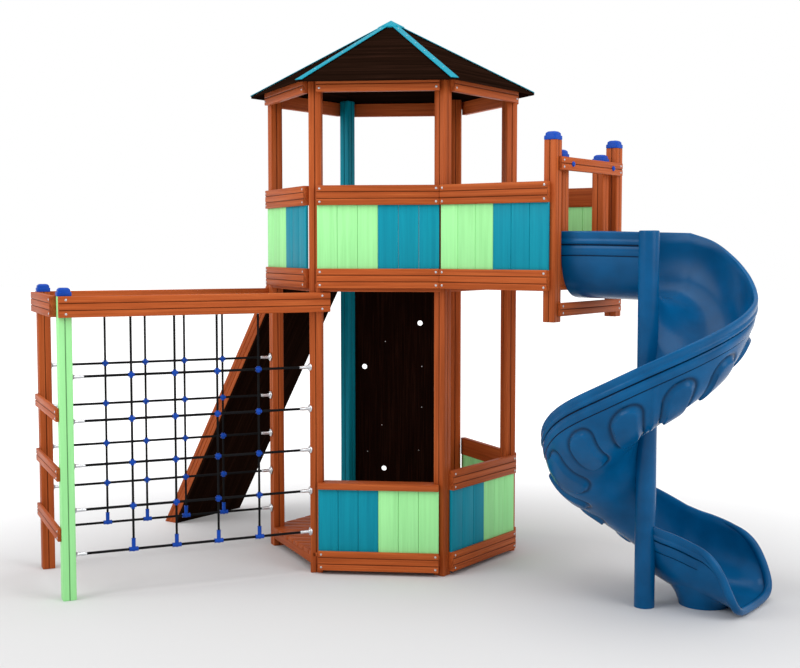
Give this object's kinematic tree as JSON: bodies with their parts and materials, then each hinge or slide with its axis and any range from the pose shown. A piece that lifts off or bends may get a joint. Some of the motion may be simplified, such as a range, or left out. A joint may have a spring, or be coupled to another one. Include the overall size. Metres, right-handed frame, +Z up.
{
  "type": "wooden play structure",
  "caption": "Wooden play tower with a six-sided roof, a slide deck with a spiral slide, a net climbing frame with ladder rungs, a ramp and a climbing wall.",
  "frame": {"origin": "on the ground, under the middle of the whole part's bounding box", "axes": "+Z up; +X from the net frame to the slide; -Y is the side that the tower's front wall faces"},
  "size_m": [5.2293, 3.5446, 4.0985],
  "materials": {
    "terracotta_wood": "satin terracotta stain",
    "teal_wood": "satin teal paint",
    "mint_wood": "satin mint green paint",
    "dark_ply": "dark brown film-faced plywood",
    "blue_plastic": "royal blue moulded plastic",
    "slide_plastic": "blue rotomoulded polyethylene",
    "black_rope": "black braided rope with a steel core"
  },
  "bodies": {
    "root": {"climbing_wall": "dark_ply", "door_beam": "terracotta_wood", "doorway_jamb_back": "terracotta_wood", "doorway_jamb_back_cap": "blue_plastic", "doorway_jamb_front": "terracotta_wood", "doorway_jamb_front_cap": "blue_plastic", "eave_beam_back": "terracotta_wood", "eave_beam_front": "terracotta_wood", "eave_beam_left": "terracotta_wood", "eave_beam_ramp_side": "terracotta_wood", "eave_beam_right": "terracotta_wood", "eave_beam_slide_side": "terracotta_wood", "low_deck": "terracotta_wood", "lower_wall_front": "mint_wood", "lower_wall_right": "mint_wood", "lower_wall_slide_side": "mint_wood", "net_back": "black_rope", "net_beam_back": "terracotta_wood", "net_beam_end": "terracotta_wood", "net_beam_front": "terracotta_wood", "net_front": "black_rope", "net_post_back": "terracotta_wood", "net_post_back_cap": "blue_plastic", "net_post_front": "mint_wood", "net_post_front_cap": "blue_plastic", "post_back_left": "teal_wood", "post_back_right": "terracotta_wood", "post_front_left": "terracotta_wood", "post_front_right": "terracotta_wood", "post_left": "terracotta_wood", "post_right": "terracotta_wood", "ramp_board": "dark_ply", "ramp_rail_back": "terracotta_wood", "ramp_rail_front": "terracotta_wood", "ridge_strips": "teal_wood", "roof_sheet_back": "dark_ply", "roof_sheet_front": "dark_ply", "roof_sheet_left": "dark_ply", "roof_sheet_ramp_side": "dark_ply", "roof_sheet_right": "dark_ply", "roof_sheet_slide_side": "dark_ply", "rung_high": "terracotta_wood", "rung_low": "terracotta_wood", "rung_middle": "terracotta_wood", "sill_beam": "terracotta_wood", "slide_deck": "terracotta_wood", "slide_deck_post_back": "terracotta_wood", "slide_deck_post_back_cap": "blue_plastic", "slide_deck_post_front": "terracotta_wood", "slide_deck_post_front_cap": "blue_plastic", "slide_deck_wall_back": "mint_wood", "slide_deck_wall_front": "mint_wood", "slide_pole": "slide_plastic", "slide_trough_lower": "slide_plastic", "slide_trough_upper": "slide_plastic", "tower_deck": "terracotta_wood", "upper_wall_front": "mint_wood", "upper_wall_left": "mint_wood", "upper_wall_right": "mint_wood"}
  },
  "joints": []
}
